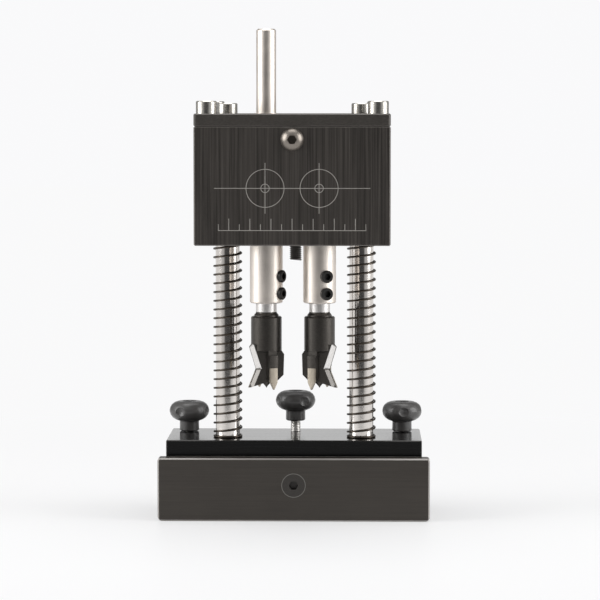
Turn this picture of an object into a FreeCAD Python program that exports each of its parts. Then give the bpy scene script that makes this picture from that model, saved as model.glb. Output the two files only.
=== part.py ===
import FreeCAD, Part

import math
import os

# Hinge drilling jig. All sizes are in millimetres.
# +X is to the right, +Y is away from the operator, +Z is up.
# The origin is on the underside of the base, midway between the two guide columns.
# The drilling axes lie in front of the fence plate, so the bits pass in front of the base.

# Base block and fence plate
BASE_WIDTH = 125.5
BASE_FRONT_Y = -15.0
BASE_BACK_Y = 35.0
BASE_HEIGHT = 38.9
BASE_EDGE = 0.5
FENCE_WIDTH = 133.0
FENCE_THICKNESS = 8.0
FENCE_HEIGHT = 31.0
FENCE_EDGE = 0.7
FENCE_LOWER_CORNER = 2.4
FENCE_UPPER_CORNER = 1.4
FENCE_SCREW_HEIGHT = 17.7
DOWEL_RADIUS = 3.0
DOWEL_INSET = 12.75
DOWEL_HEIGHT = 16.0
DOWEL_IN_FENCE = 5.0
DOWEL_IN_BASE = 12.0

# Spindles and the bits that they turn
SPINDLE_SPACING = 25.6
SPINDLE_BEFORE_FENCE = 10.5
SPINDLE_RADIUS = 6.0
DRIVE_RADIUS = 4.75
DRIVE_STEP_ABOVE_PLATE = 0.2
COLLET_RADIUS = 7.9
COLLET_BELOW_HOUSING = 28.3
COLLET_EDGE = 0.5
BIT_SHANK_RADIUS = 5.0
BIT_SHANK_IN_COLLET = 26.0
BIT_SHANK_SHOWN = 4.5
BIT_NECK_LENGTH = 2.0
BIT_BODY_RADIUS = 7.4
BIT_CUTTING_RADIUS = 9.0
BIT_LENGTH_SHOWN = 41.4
SHAFT_ABOVE_PLATE = 40.4
SHAFT_EDGE = 0.8

# Columns and springs
COLUMN_SPACING = 66.0
COLUMN_RADIUS = 6.0
COLUMN_SHOWN = 97.3
COLUMN_FOOT_Z = 9.0
COLUMN_EDGE = 0.6
SPRING_OUTER_RADIUS = 7.2
SPRING_WIRE = 1.0
SPRING_TURNS = 23
SPRING_SEAT_DEPTH = 3.0

# Housing and top plate
HOUSING_WIDTH = 93.4
HOUSING_FRONT_Y = -52.0
HOUSING_BACK_Y = 35.0
HOUSING_HEIGHT = 56.6
HOUSING_EDGE = 0.6
PLATE_THICKNESS = 6.0
PLATE_EDGE = 0.5
PLATE_CORNER = 1.0
PLATE_SCREW_INSET = 5.9
PLUG_BELOW_TOP = 6.3
WASHER_RECESS = 2.0
WASHER_THICKNESS = 1.0
WASHER_RADIUS = 7.5
BUSH_WALL = 2.0
BUSH_LENGTH = 20.0
COLUMN_RELIEF = 1.0

# Gears, bearings and what lies between them
GEAR_TEETH = 26
GEAR_WIDTH = 12.0
GEAR_PRESSURE_ANGLE = 20.0
GEAR_BACKLASH = 0.12
GEAR_ABOVE_FLOOR = 2.0
BEARING_RADIUS = 10.5
BEARING_WIDTH = 5.0
BEARING_FLOOR = 6.0
BEARING_POCKET = 20.0
CLIP_RADIUS = 8.0
CLIP_THICKNESS = 1.0
CLIP_GROOVE = 0.4
SPACER_WALL = 1.5
KEY_WIDTH = 3.0
KEY_LENGTH = 10.0

# Depth stop and lock knobs
KNOB_Y = 24.0
KNOB_RADIUS = 10.0
KNOB_HEIGHT = 15.0
KNOB_HUB_RADIUS = 4.9
KNOB_HUB_HEIGHT = 5.2
KNOB_WIDEST = 10.2
KNOB_RECESS_RADIUS = 3.2
KNOB_RECESS_DEPTH = 3.0
KNOB_DIMPLE_RADIUS = 4.4
KNOB_DIMPLES = 4
KNOB_STUD_RADIUS = 2.5
KNOB_STUD_IN_KNOB = 9.0
STOP_KNOB_RAISED = 5.5
STOP_STUD_RADIUS = 3.0
STOP_STUD_SHOWN = 11.5
STOP_STUD_IN_HOUSING = 16.0
DEPTH_STUD_IN_BASE = 24.0
LOCK_KNOB_INSET = 9.15
LOCK_KNOB_RAISED = 0.2
ROD_BORE_RADIUS = 4.1
ROD_BORE_LENGTH = 30.0
ROD_BORE_HEIGHT = 20.0

# Screws: thread radius, head radius, head height and key size across flats
M6_CAP = {"thread": 3.0, "head": 5.0, "height": 6.0, "key": 5.0}
M6_BUTTON = {"thread": 3.0, "head": 5.5, "height": 3.3, "key": 4.0}
M6_SUNK = {"thread": 3.0, "head": 6.0, "height": 3.0, "key": 4.0}
M6_SET = {"thread": 3.0, "length": 4.45, "key": 3.0}
SCREW_EDGE = 0.4
PLATE_SCREW_LENGTH = 25.0
COLUMN_SCREW_LENGTH = 14.0
FOOT_SCREW_LENGTH = 20.0
FENCE_SCREW_LENGTH = 16.0
PLUG_LENGTH = 12.0
SET_SCREW_HEIGHTS = (4.7, 13.0)
SET_SCREW_TURNS = {"left": 63.0, "right": 25.0}

# Clearances between pieces
RUNNING = 0.05
BEARING_RUNNING = 0.02
FREE = 0.4
HEAD_ROOM = 0.3

# Places worked out from the sizes above
SPINDLE_X = SPINDLE_SPACING / 2
COLUMN_X = COLUMN_SPACING / 2
LOCK_X = BASE_WIDTH / 2 - LOCK_KNOB_INSET
DOWEL_X = BASE_WIDTH / 2 - DOWEL_INSET
HOUSING_Z = BASE_HEIGHT + COLUMN_SHOWN
PLATE_Z = HOUSING_Z + HOUSING_HEIGHT
TOP_Z = PLATE_Z + PLATE_THICKNESS
SHAFT_TOP_Z = TOP_Z + SHAFT_ABOVE_PLATE
COLUMN_TOP_Z = TOP_Z - WASHER_RECESS
COLLET_Z = HOUSING_Z - COLLET_BELOW_HOUSING
BEARING_Z = HOUSING_Z + BEARING_FLOOR
CAVITY_Z = BEARING_Z + BEARING_POCKET
GEAR_Z = CAVITY_Z + GEAR_ABOVE_FLOOR
PLUG_Z = PLATE_Z - PLUG_BELOW_TOP
GEAR_MODULE = SPINDLE_SPACING / GEAR_TEETH
GEAR_TIP_RADIUS = SPINDLE_SPACING / 2 + GEAR_MODULE
CAVITY_RADIUS = GEAR_TIP_RADIUS + FREE
BUSH_RADIUS = COLUMN_RADIUS + BUSH_WALL
BUSH_Z = HOUSING_Z + SPRING_SEAT_DEPTH
SPRING_SEAT_RADIUS = SPRING_OUTER_RADIUS + FREE
FENCE_FRONT_Y = BASE_FRONT_Y - FENCE_THICKNESS
SPINDLE_Y = FENCE_FRONT_Y - SPINDLE_BEFORE_FENCE
SIDES = {"left": -1, "right": 1}


def vec(x, y, z):
    return FreeCAD.Vector(x, y, z)


def rod(radius, low, high, x=0.0, y=0.0):
    """A cylinder that stands along Z between two heights."""
    return Part.makeCylinder(radius, high - low, vec(x, y, low))


def ring(inner, outer, low, high, x=0.0, y=0.0):
    return rod(outer, low, high, x, y).cut(rod(inner, low, high, x, y))


def cross_rod(radius, start, direction, length):
    return Part.makeCylinder(radius, length, start, direction)


def slab(x_low, x_high, y_low, y_high, z_low, z_high):
    size = (x_high - x_low, y_high - y_low, z_high - z_low)
    return Part.makeBox(size[0], size[1], size[2], vec(x_low, y_low, z_low))


def edges_along(shape, axis):
    """The straight edges of a box that run along X, Y or Z."""
    found = []
    for edge in shape.Edges:
        run = edge.Vertexes[-1].Point.sub(edge.Vertexes[0].Point)
        sizes = [abs(run.x), abs(run.y), abs(run.z)]
        if sizes["XYZ".index(axis)] > 0.99 * run.Length:
            found.append(edge)
    return found


def turned(profile):
    """A solid of revolution about Z from points (radius, height)."""
    points = [vec(radius, 0, height) for radius, height in profile]
    face = Part.Face(Part.makePolygon(points + [points[0]]))
    return face.revolve(vec(0, 0, 0), vec(0, 0, 1), 360)


def hexagon(across, low, high):
    """A hexagonal prism for a key socket."""
    corner = across / math.sqrt(3)
    points = []
    for step in range(7):
        angle = math.radians(60 * step)
        points.append(vec(corner * math.cos(angle), corner * math.sin(angle), low))
    return Part.Face(Part.makePolygon(points)).extrude(vec(0, 0, high - low))


def cap_screw(size, length):
    """A socket cap screw that stands on z = 0, its thread pointing down."""
    head = size["head"]
    height = size["height"]
    profile = [(0, 0), (head, 0), (head, height - SCREW_EDGE), (head - SCREW_EDGE, height), (0, height)]
    shape = turned(profile).fuse(rod(size["thread"], -length, 0))
    return shape.cut(hexagon(size["key"], height * 0.45, height + 1)).removeSplitter()


def button_screw(size, length):
    """A button-head screw: a low dome with a key socket."""
    head = size["head"]
    height = size["height"]
    dome_radius = (head * head + height * height) / (2 * height)
    dome = Part.makeSphere(dome_radius, vec(0, 0, height - dome_radius))
    dome = dome.common(rod(head, 0, height + 1))
    flat = rod(head, 0, height - 0.3)
    shape = dome.common(flat).fuse(rod(size["thread"], -length, 0))
    return shape.cut(hexagon(size["key"], -height * 0.4, height + 1)).removeSplitter()


def sunk_screw(size, length):
    """A countersunk screw whose flat head ends at z = 0."""
    head = size["head"]
    height = size["height"]
    cone = turned([(0, -height), (size["thread"], -height), (head, 0), (0, 0)])
    shape = cone.fuse(rod(size["thread"], -length, -height))
    return shape.cut(hexagon(size["key"], -height * 0.9, 1)).removeSplitter()


def set_screw(size):
    """A headless screw from z = 0 up to its length, socket at the top."""
    radius = size["thread"]
    top = size["length"]
    profile = [(0, 0), (radius - SCREW_EDGE, 0), (radius, SCREW_EDGE)]
    profile += [(radius, top - SCREW_EDGE), (radius - SCREW_EDGE, top), (0, top)]
    return turned(profile).cut(hexagon(size["key"], top * 0.5, top + 1))


def placed(shape, x, y, z):
    moved = shape.copy()
    moved.translate(vec(x, y, z))
    return moved


def facing_front(shape):
    """Turns a piece that points along +Z so that it points along -Y."""
    moved = shape.copy()
    moved.rotate(vec(0, 0, 0), vec(1, 0, 0), 90)
    return moved


def make_base_block():
    block = slab(-BASE_WIDTH / 2, BASE_WIDTH / 2, BASE_FRONT_Y, BASE_BACK_Y, 0, BASE_HEIGHT)
    block = block.makeChamfer(BASE_EDGE, block.Edges)
    top = BASE_HEIGHT + 1
    head_bore = M6_CAP["head"] + HEAD_ROOM
    for side in SIDES.values():
        block = block.cut(rod(COLUMN_RADIUS, COLUMN_FOOT_Z, top, side * COLUMN_X))
        block = block.cut(rod(M6_CAP["thread"] + HEAD_ROOM, -1, top, side * COLUMN_X))
        foot_depth = M6_CAP["height"] + HEAD_ROOM
        block = block.cut(rod(head_bore, -1, foot_depth, side * COLUMN_X))
        lock_hole = rod(KNOB_STUD_RADIUS + RUNNING, ROD_BORE_HEIGHT, top, side * LOCK_X, KNOB_Y)
        block = block.cut(lock_hole)
        start = vec(side * (BASE_WIDTH / 2 + 1), KNOB_Y, ROD_BORE_HEIGHT)
        inward = vec(-side, 0, 0)
        block = block.cut(cross_rod(ROD_BORE_RADIUS, start, inward, ROD_BORE_LENGTH + 1))
        dowel_start = vec(side * DOWEL_X, BASE_FRONT_Y - 1, DOWEL_HEIGHT)
        block = block.cut(cross_rod(DOWEL_RADIUS, dowel_start, vec(0, 1, 0), DOWEL_IN_BASE + 1))
    stud_floor = BASE_HEIGHT - DEPTH_STUD_IN_BASE - STOP_KNOB_RAISED - 2
    block = block.cut(rod(KNOB_STUD_RADIUS + RUNNING, stud_floor, top, 0, KNOB_Y))
    screw_start = vec(0, BASE_FRONT_Y - 1, FENCE_SCREW_HEIGHT)
    screw_depth = FENCE_SCREW_LENGTH - FENCE_THICKNESS
    block = block.cut(cross_rod(M6_SUNK["thread"], screw_start, vec(0, 1, 0), screw_depth + 1))
    return block


def make_fence_plate():
    half = FENCE_WIDTH / 2
    plate = slab(-half, half, FENCE_FRONT_Y, BASE_FRONT_Y, 0, FENCE_HEIGHT)
    long_edges = edges_along(plate, "Y")
    lower = [edge for edge in long_edges if edge.BoundBox.ZMax < FENCE_HEIGHT / 2]
    plate = plate.makeFillet(FENCE_LOWER_CORNER, lower)
    upper = [edge for edge in edges_along(plate, "Y") if edge.BoundBox.ZMin > FENCE_HEIGHT - 0.01]
    upper = [edge for edge in upper if abs(edge.BoundBox.XMax) > half - 0.01 or abs(edge.BoundBox.XMin) > half - 0.01]
    plate = plate.makeFillet(FENCE_UPPER_CORNER, upper)
    front = [edge for edge in plate.Edges if edge.BoundBox.YMax < FENCE_FRONT_Y + 0.01]
    plate = plate.makeChamfer(FENCE_EDGE, front)
    head = facing_front(turned([
        (0, -M6_SUNK["height"]), (M6_SUNK["thread"], -M6_SUNK["height"]),
        (M6_SUNK["head"], 0), (M6_SUNK["head"], 1), (0, 1)]))
    plate = plate.cut(placed(head, 0, FENCE_FRONT_Y, FENCE_SCREW_HEIGHT))
    start = vec(0, FENCE_FRONT_Y, FENCE_SCREW_HEIGHT)
    plate = plate.cut(cross_rod(M6_SUNK["thread"], start, vec(0, 1, 0), FENCE_THICKNESS + 1))
    for side in SIDES.values():
        start = vec(side * DOWEL_X, BASE_FRONT_Y - DOWEL_IN_FENCE, DOWEL_HEIGHT)
        plate = plate.cut(cross_rod(DOWEL_RADIUS, start, vec(0, 1, 0), DOWEL_IN_FENCE + 1))
    return plate


def make_fence_screw():
    screw = facing_front(sunk_screw(M6_SUNK, FENCE_SCREW_LENGTH))
    return placed(screw, 0, FENCE_FRONT_Y, FENCE_SCREW_HEIGHT)


def make_fence_dowels():
    length = DOWEL_IN_FENCE + DOWEL_IN_BASE
    pins = []
    for side in SIDES.values():
        start = vec(side * DOWEL_X, BASE_FRONT_Y - DOWEL_IN_FENCE, DOWEL_HEIGHT)
        pins.append(cross_rod(DOWEL_RADIUS, start, vec(0, 1, 0), length))
    return Part.makeCompound(pins)


def make_column(side):
    profile = [(0, COLUMN_FOOT_Z), (COLUMN_RADIUS, COLUMN_FOOT_Z)]
    profile += [(COLUMN_RADIUS, COLUMN_TOP_Z - COLUMN_EDGE)]
    profile += [(COLUMN_RADIUS - COLUMN_EDGE, COLUMN_TOP_Z), (0, COLUMN_TOP_Z)]
    shape = turned(profile)
    foot_hole_top = M6_CAP["height"] + HEAD_ROOM + FOOT_SCREW_LENGTH
    shape = shape.cut(rod(M6_CAP["thread"], COLUMN_FOOT_Z, foot_hole_top))
    thread_low = COLUMN_TOP_Z + WASHER_THICKNESS - COLUMN_SCREW_LENGTH
    shape = shape.cut(rod(M6_CAP["thread"], thread_low, COLUMN_TOP_Z))
    return placed(shape, side * COLUMN_X, 0, 0)


def make_column_foot_screws():
    screw = cap_screw(M6_CAP, FOOT_SCREW_LENGTH)
    screw.rotate(vec(0, 0, 0), vec(1, 0, 0), 180)
    height = M6_CAP["height"] + HEAD_ROOM
    screws = [placed(screw, side * COLUMN_X, 0, height) for side in SIDES.values()]
    return Part.makeCompound(screws)


def make_column_top_screws():
    screw = cap_screw(M6_CAP, COLUMN_SCREW_LENGTH)
    height = COLUMN_TOP_Z + WASHER_THICKNESS
    screws = [placed(screw, side * COLUMN_X, 0, height) for side in SIDES.values()]
    return Part.makeCompound(screws)


def make_stop_washers():
    high = COLUMN_TOP_Z + WASHER_THICKNESS
    washers = []
    for side in SIDES.values():
        x = side * COLUMN_X
        washers.append(ring(M6_CAP["thread"], WASHER_RADIUS, COLUMN_TOP_Z, high, x))
    return Part.makeCompound(washers)


def make_spring(side):
    """A compression spring with one closed turn at each end, ground flat."""
    mean = SPRING_OUTER_RADIUS - SPRING_WIRE / 2
    low = BASE_HEIGHT + SPRING_WIRE / 2
    high = BUSH_Z - SPRING_WIRE / 2
    helix = Part.makeLongHelix((high - low) / SPRING_TURNS, high - low, mean, 0, False)
    start = Part.Wire(Part.makeCircle(SPRING_WIRE / 2, vec(mean, 0, 0), vec(0, 1, 0)))
    coil = Part.Wire(helix).makePipeShell([start], True, True)
    coil.translate(vec(0, 0, low))
    shape = coil
    for height in (low, high):
        turn = Part.makeTorus(mean, SPRING_WIRE / 2, vec(0, 0, height))
        shape = shape.fuse(turn)
    return placed(shape, side * COLUMN_X, 0, 0)


def make_housing():
    half = HOUSING_WIDTH / 2
    block = slab(-half, half, HOUSING_FRONT_Y, HOUSING_BACK_Y, HOUSING_Z, PLATE_Z)
    block = block.makeChamfer(HOUSING_EDGE, block.Edges)
    top = PLATE_Z + 1
    for side in SIDES.values():
        x = side * SPINDLE_X
        block = block.cut(rod(COLLET_RADIUS + FREE, HOUSING_Z - 1, BEARING_Z, x, SPINDLE_Y))
        block = block.cut(rod(BEARING_RADIUS, BEARING_Z, top, x, SPINDLE_Y))
        block = block.cut(rod(CAVITY_RADIUS, CAVITY_Z, top, x, SPINDLE_Y))
        x = side * COLUMN_X
        block = block.cut(rod(COLUMN_RADIUS + COLUMN_RELIEF, HOUSING_Z - 1, top, x))
        block = block.cut(rod(SPRING_SEAT_RADIUS, HOUSING_Z - 1, BUSH_Z, x))
        block = block.cut(rod(BUSH_RADIUS, BUSH_Z, BUSH_Z + BUSH_LENGTH, x))
        for y in plate_screw_rows():
            low = TOP_Z - PLATE_SCREW_LENGTH - PLATE_THICKNESS / 2
            block = block.cut(rod(M6_CAP["thread"], low, top, side * plate_screw_x(), y))
    stud_top = HOUSING_Z + STOP_STUD_IN_HOUSING
    block = block.cut(rod(STOP_STUD_RADIUS, HOUSING_Z - 1, stud_top, 0, KNOB_Y))
    plug_start = vec(0, HOUSING_FRONT_Y - 1, PLUG_Z)
    block = block.cut(cross_rod(M6_BUTTON["thread"], plug_start, vec(0, 1, 0), SPINDLE_Y - HOUSING_FRONT_Y))
    return block


def plate_screw_x():
    return HOUSING_WIDTH / 2 - PLATE_SCREW_INSET


def plate_screw_rows():
    return (HOUSING_FRONT_Y + PLATE_SCREW_INSET, HOUSING_BACK_Y - PLATE_SCREW_INSET)


def make_top_plate():
    half = HOUSING_WIDTH / 2
    plate = slab(-half, half, HOUSING_FRONT_Y, HOUSING_BACK_Y, PLATE_Z, TOP_Z)
    plate = plate.makeChamfer(PLATE_CORNER, edges_along(plate, "Z"))
    rims = [edge for edge in plate.Edges if edge.BoundBox.ZLength < 0.01]
    plate = plate.makeChamfer(PLATE_EDGE, rims)
    bearing_top = PLATE_Z + BEARING_WIDTH
    for name, side in SIDES.items():
        x = side * SPINDLE_X
        plate = plate.cut(rod(BEARING_RADIUS, PLATE_Z - 1, bearing_top, x, SPINDLE_Y))
        if name == "left":
            plate = plate.cut(rod(SPINDLE_RADIUS + FREE, PLATE_Z, TOP_Z + 1, x, SPINDLE_Y))
        x = side * COLUMN_X
        plate = plate.cut(rod(COLUMN_RADIUS + RUNNING, PLATE_Z - 1, TOP_Z + 1, x))
        plate = plate.cut(rod(WASHER_RADIUS + FREE, COLUMN_TOP_Z, TOP_Z + 1, x))
        for y in plate_screw_rows():
            hole = rod(M6_CAP["thread"] + FREE, PLATE_Z - 1, TOP_Z + 1, side * plate_screw_x(), y)
            plate = plate.cut(hole)
    return plate


def make_plate_screws():
    screw = cap_screw(M6_CAP, PLATE_SCREW_LENGTH)
    screws = []
    for side in SIDES.values():
        for y in plate_screw_rows():
            screws.append(placed(screw, side * plate_screw_x(), y, TOP_Z))
    return Part.makeCompound(screws)


def make_filler_plug():
    plug = facing_front(button_screw(M6_BUTTON, PLUG_LENGTH))
    return placed(plug, 0, HOUSING_FRONT_Y, PLUG_Z)


def make_stop_stud():
    low = HOUSING_Z - STOP_STUD_SHOWN
    high = HOUSING_Z + STOP_STUD_IN_HOUSING
    radius = STOP_STUD_RADIUS
    profile = [(0, low), (radius - SCREW_EDGE, low), (radius, low + SCREW_EDGE), (radius, high), (0, high)]
    return placed(turned(profile), 0, KNOB_Y, 0)


def make_bush(side):
    high = BUSH_Z + BUSH_LENGTH
    return ring(COLUMN_RADIUS + RUNNING, BUSH_RADIUS, BUSH_Z, high, side * COLUMN_X)


def make_bearing(side, low):
    """A sealed ball bearing, with the shallow step of its seals on both faces."""
    inner = SPINDLE_RADIUS + BEARING_RUNNING
    race = 1.4
    shape = ring(inner, BEARING_RADIUS, low, low + BEARING_WIDTH, side * SPINDLE_X, SPINDLE_Y)
    for start in (low, low + BEARING_WIDTH - 0.3):
        step = ring(inner + race, BEARING_RADIUS - race, start, start + 0.3, side * SPINDLE_X, SPINDLE_Y)
        shape = shape.cut(step)
    return shape


def spindle_top(name):
    if name == "left":
        return SHAFT_TOP_Z
    return PLATE_Z + BEARING_WIDTH - RUNNING


def clip_z():
    return BEARING_Z + BEARING_WIDTH + RUNNING


def make_spindle(name, side):
    """The bit holder and its shaft, turned from one bar; the left one is the drive shaft too."""
    top = spindle_top(name)
    shoulder = BEARING_Z - RUNNING
    profile = [(0, COLLET_Z), (COLLET_RADIUS - COLLET_EDGE, COLLET_Z)]
    profile += [(COLLET_RADIUS, COLLET_Z + COLLET_EDGE), (COLLET_RADIUS, HOUSING_Z + BEARING_FLOOR / 2)]
    profile += [(SPINDLE_RADIUS + 1.4, shoulder), (SPINDLE_RADIUS, shoulder)]
    groove = SPINDLE_RADIUS - CLIP_GROOVE
    profile += [(SPINDLE_RADIUS, clip_z()), (groove, clip_z())]
    profile += [(groove, clip_z() + CLIP_THICKNESS), (SPINDLE_RADIUS, clip_z() + CLIP_THICKNESS)]
    end = SPINDLE_RADIUS
    if name == "left":
        end = DRIVE_RADIUS
        step = TOP_Z + DRIVE_STEP_ABOVE_PLATE
        profile += [(SPINDLE_RADIUS, step), (DRIVE_RADIUS, step)]
    profile += [(end, top - SHAFT_EDGE), (end - SHAFT_EDGE, top), (0, top)]
    shape = turned(profile)
    shape = shape.cut(rod(BIT_SHANK_RADIUS, COLLET_Z - 1, COLLET_Z + BIT_SHANK_IN_COLLET))
    key_low = GEAR_Z + (GEAR_WIDTH - KEY_LENGTH) / 2
    shape = shape.cut(key_block(key_low, SPINDLE_RADIUS - KEY_WIDTH / 2))
    for height in SET_SCREW_HEIGHTS:
        shape = shape.cut(set_screw_at(name, side, height, True))
    return placed(shape, side * SPINDLE_X, SPINDLE_Y, 0)


def key_block(low, inner):
    half = KEY_WIDTH / 2
    return slab(-half, half, inner, inner + KEY_WIDTH, low, low + KEY_LENGTH)


def set_screw_at(name, side, height, as_hole):
    """One clamping screw of a bit holder, about the spindle's own axis."""
    start = BIT_SHANK_RADIUS
    if as_hole:
        shape = rod(M6_SET["thread"], start - 1, COLLET_RADIUS + 2)
    else:
        # The tip stands on the bit's shank, so the screw moves with the shank's size.
        shape = placed(set_screw(M6_SET), 0, 0, BIT_SHANK_RADIUS + RUNNING)
    shape = facing_front(shape)
    shape.rotate(vec(0, 0, 0), vec(0, 0, 1), SET_SCREW_TURNS[name])
    return placed(shape, 0, 0, COLLET_Z + height)


def make_set_screws(name, side):
    screws = [set_screw_at(name, side, height, False) for height in SET_SCREW_HEIGHTS]
    return placed(Part.makeCompound(screws), side * SPINDLE_X, SPINDLE_Y, 0)


def make_clip(side):
    """An open retaining ring in its groove above the lower bearing."""
    low = clip_z()
    shape = ring(SPINDLE_RADIUS - CLIP_GROOVE, CLIP_RADIUS, low, low + CLIP_THICKNESS)
    mouth = slab(-SPINDLE_RADIUS / 2, SPINDLE_RADIUS / 2, -CLIP_RADIUS - 1, 0, low - 1, low + 2)
    return placed(shape.cut(mouth), side * SPINDLE_X, SPINDLE_Y, 0)


def make_spacers(side):
    outer = SPINDLE_RADIUS + SPACER_WALL
    low = clip_z() + CLIP_THICKNESS
    lower = ring(SPINDLE_RADIUS, outer, low, GEAR_Z, side * SPINDLE_X, SPINDLE_Y)
    upper = ring(SPINDLE_RADIUS, outer, GEAR_Z + GEAR_WIDTH, PLATE_Z - RUNNING, side * SPINDLE_X, SPINDLE_Y)
    return Part.makeCompound([lower, upper])


def involute(base_radius, radius):
    """The angle by which an involute has turned where it reaches a radius."""
    roll = math.sqrt(max((radius / base_radius) ** 2 - 1, 0))
    return roll - math.atan(roll)


def gear_outline(tooth_turn):
    """The points of a spur gear's outline, each flank an involute."""
    pitch_radius = SPINDLE_SPACING / 2
    base_radius = pitch_radius * math.cos(math.radians(GEAR_PRESSURE_ANGLE))
    root_radius = pitch_radius - 1.25 * GEAR_MODULE
    half_tooth = (math.pi * GEAR_MODULE / 2 - GEAR_BACKLASH) / 2 / pitch_radius
    at_pitch = involute(base_radius, pitch_radius)
    flank = []
    start = max(base_radius, root_radius)
    for step in range(4):
        radius = start + (GEAR_TIP_RADIUS - start) * step / 3
        flank.append((radius, half_tooth + at_pitch - involute(base_radius, radius)))
    flank.insert(0, (root_radius, flank[0][1]))
    points = []
    for tooth in range(GEAR_TEETH):
        centre = tooth_turn + 2 * math.pi * tooth / GEAR_TEETH
        for radius, half in flank:
            points.append(vec(radius * math.cos(centre - half), radius * math.sin(centre - half), 0))
        for radius, half in reversed(flank):
            points.append(vec(radius * math.cos(centre + half), radius * math.sin(centre + half), 0))
    return points + [points[0]]


def make_gear(name, side):
    """The left gear has a tooth towards the right one, which has a gap there."""
    turn = 0.0
    if name == "right":
        turn = math.pi + math.pi / GEAR_TEETH
    face = Part.Face(Part.makePolygon(gear_outline(turn)))
    gear = face.extrude(vec(0, 0, GEAR_WIDTH))
    gear.translate(vec(0, 0, GEAR_Z))
    gear = gear.cut(rod(SPINDLE_RADIUS, GEAR_Z - 1, GEAR_Z + GEAR_WIDTH + 1))
    half = KEY_WIDTH / 2
    key_top = SPINDLE_RADIUS + KEY_WIDTH / 2
    slot = slab(-half, half, 0, key_top, GEAR_Z - 1, GEAR_Z + GEAR_WIDTH + 1)
    return placed(gear.cut(slot), side * SPINDLE_X, SPINDLE_Y, 0)


def make_key(side):
    key_low = GEAR_Z + (GEAR_WIDTH - KEY_LENGTH) / 2
    return placed(key_block(key_low, SPINDLE_RADIUS - KEY_WIDTH / 2), side * SPINDLE_X, SPINDLE_Y, 0)


# The bit's cutting end. Heights are above the lowest point of the spurs.
BIT_BODY_BOTTOM = 17.6
WING_TOP = 21.7
WING_SHOULDER = 20.3
WING_SHOULDER_RADIUS = 8.5
WING_WAIST = 9.7
WING_WAIST_RADIUS = 5.3
WING_THICKNESS = 5.0
WING_TURN = -78.0
EDGE_BOTTOM = 0.6
EDGE_LAND = 1.9
BACK_WING_TOP = 16.4
BACK_WING_BOTTOM = 6.4
BACK_WING_RADIUS = 8.7
BACK_WING_FOOT = 3.4
SPUR_TURN = 27.0
SPUR_WIDTH = 3.6
SPUR_DEPTH = 1.8
SPUR_HEIGHT = 10.4
SPUR_POINT = 3.6
CARRIER_TOP = 16.4
CORE_RADIUS = 3.6
POINT_HEIGHT = 1.2
TIP_THICKNESS = 1.5


def outside_plane(first, second, third, low, high):
    """What lies on the far side of a plane through three points, between two heights."""
    across = second.sub(first).cross(third.sub(first))
    if across.x < 0:
        across = across.multiply(-1)
    size = 40.0
    block = Part.makeBox(size, size, size, vec(-size / 2, -size / 2, 0))
    block.Placement = FreeCAD.Placement(first, FreeCAD.Rotation(vec(0, 0, 1), across))
    return block.common(slab(-size, size, -size, size, low, high))


def front_wing():
    """The cutting wing: a plate along +X, narrow at its waist, with two ground lands."""
    thick = WING_THICKNESS
    outline = [(0, EDGE_BOTTOM + 3), (BIT_CUTTING_RADIUS - EDGE_LAND, EDGE_BOTTOM + 0.9)]
    outline += [(BIT_CUTTING_RADIUS, EDGE_BOTTOM), (WING_WAIST_RADIUS, WING_WAIST)]
    outline += [(WING_SHOULDER_RADIUS, WING_SHOULDER), (BIT_BODY_RADIUS, WING_TOP), (0, WING_TOP)]
    points = [vec(x, 0, z) for x, z in outline]
    shape = Part.Face(Part.makePolygon(points + [points[0]])).extrude(vec(0, thick, 0))
    upper = outside_plane(vec(BIT_BODY_RADIUS - 0.2, thick, WING_TOP), vec(3.4, thick, WING_WAIST + 0.6),
                          vec(WING_SHOULDER_RADIUS, thick - 3.0, WING_SHOULDER), WING_WAIST, WING_TOP + 1)
    lower = outside_plane(vec(WING_WAIST_RADIUS - 1.2, thick, WING_WAIST - 1.2),
                          vec(BIT_CUTTING_RADIUS - EDGE_LAND, thick, EDGE_BOTTOM + 0.7),
                          vec(BIT_CUTTING_RADIUS, thick - 1.5, EDGE_BOTTOM), -1, WING_WAIST)
    shape = shape.cut(upper).cut(lower)
    return shape.common(rod(BIT_CUTTING_RADIUS, -1, WING_TOP + 1))


def back_wing():
    """The plain wing opposite, which steadies the bit and carries no long edge."""
    outline = [(0, BACK_WING_FOOT), (WING_WAIST_RADIUS, BACK_WING_FOOT), (BACK_WING_RADIUS - 0.3, BACK_WING_BOTTOM)]
    outline += [(BACK_WING_RADIUS, BACK_WING_TOP), (BIT_BODY_RADIUS - 1, WING_TOP - 2), (0, WING_TOP - 2)]
    points = [vec(x, 0, z) for x, z in outline]
    shape = Part.Face(Part.makePolygon(points + [points[0]])).extrude(vec(0, WING_THICKNESS, 0))
    return shape.common(rod(BACK_WING_RADIUS, -1, WING_TOP + 1))


def turned_by(shape, turn):
    moved = shape.copy()
    moved.rotate(vec(0, 0, 0), vec(0, 0, 1), turn)
    return moved


def cutter_slab():
    """The space that a hard cutter fills on the radial face of the cutting wing."""
    return slab(2.2, BIT_CUTTING_RADIUS + 1, -0.02, TIP_THICKNESS, 0, WING_WAIST - 1.5)


def spur_blank(turn):
    """A spur: an upright block with a ground point, at the rim."""
    half = SPUR_WIDTH / 2
    inner = BIT_CUTTING_RADIUS - SPUR_DEPTH
    outline = [vec(0, -half, SPUR_HEIGHT), vec(0, half, SPUR_HEIGHT)]
    outline += [vec(0, half, SPUR_POINT), vec(0, 0, 0), vec(0, -half, SPUR_POINT)]
    face = Part.Face(Part.makePolygon(outline + [outline[0]]))
    shape = face.extrude(vec(SPUR_DEPTH, 0, 0))
    shape.translate(vec(inner, 0, 0))
    shape = shape.common(rod(BIT_CUTTING_RADIUS, -1, SPUR_HEIGHT + 1))
    return turned_by(shape, turn - 90)


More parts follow.
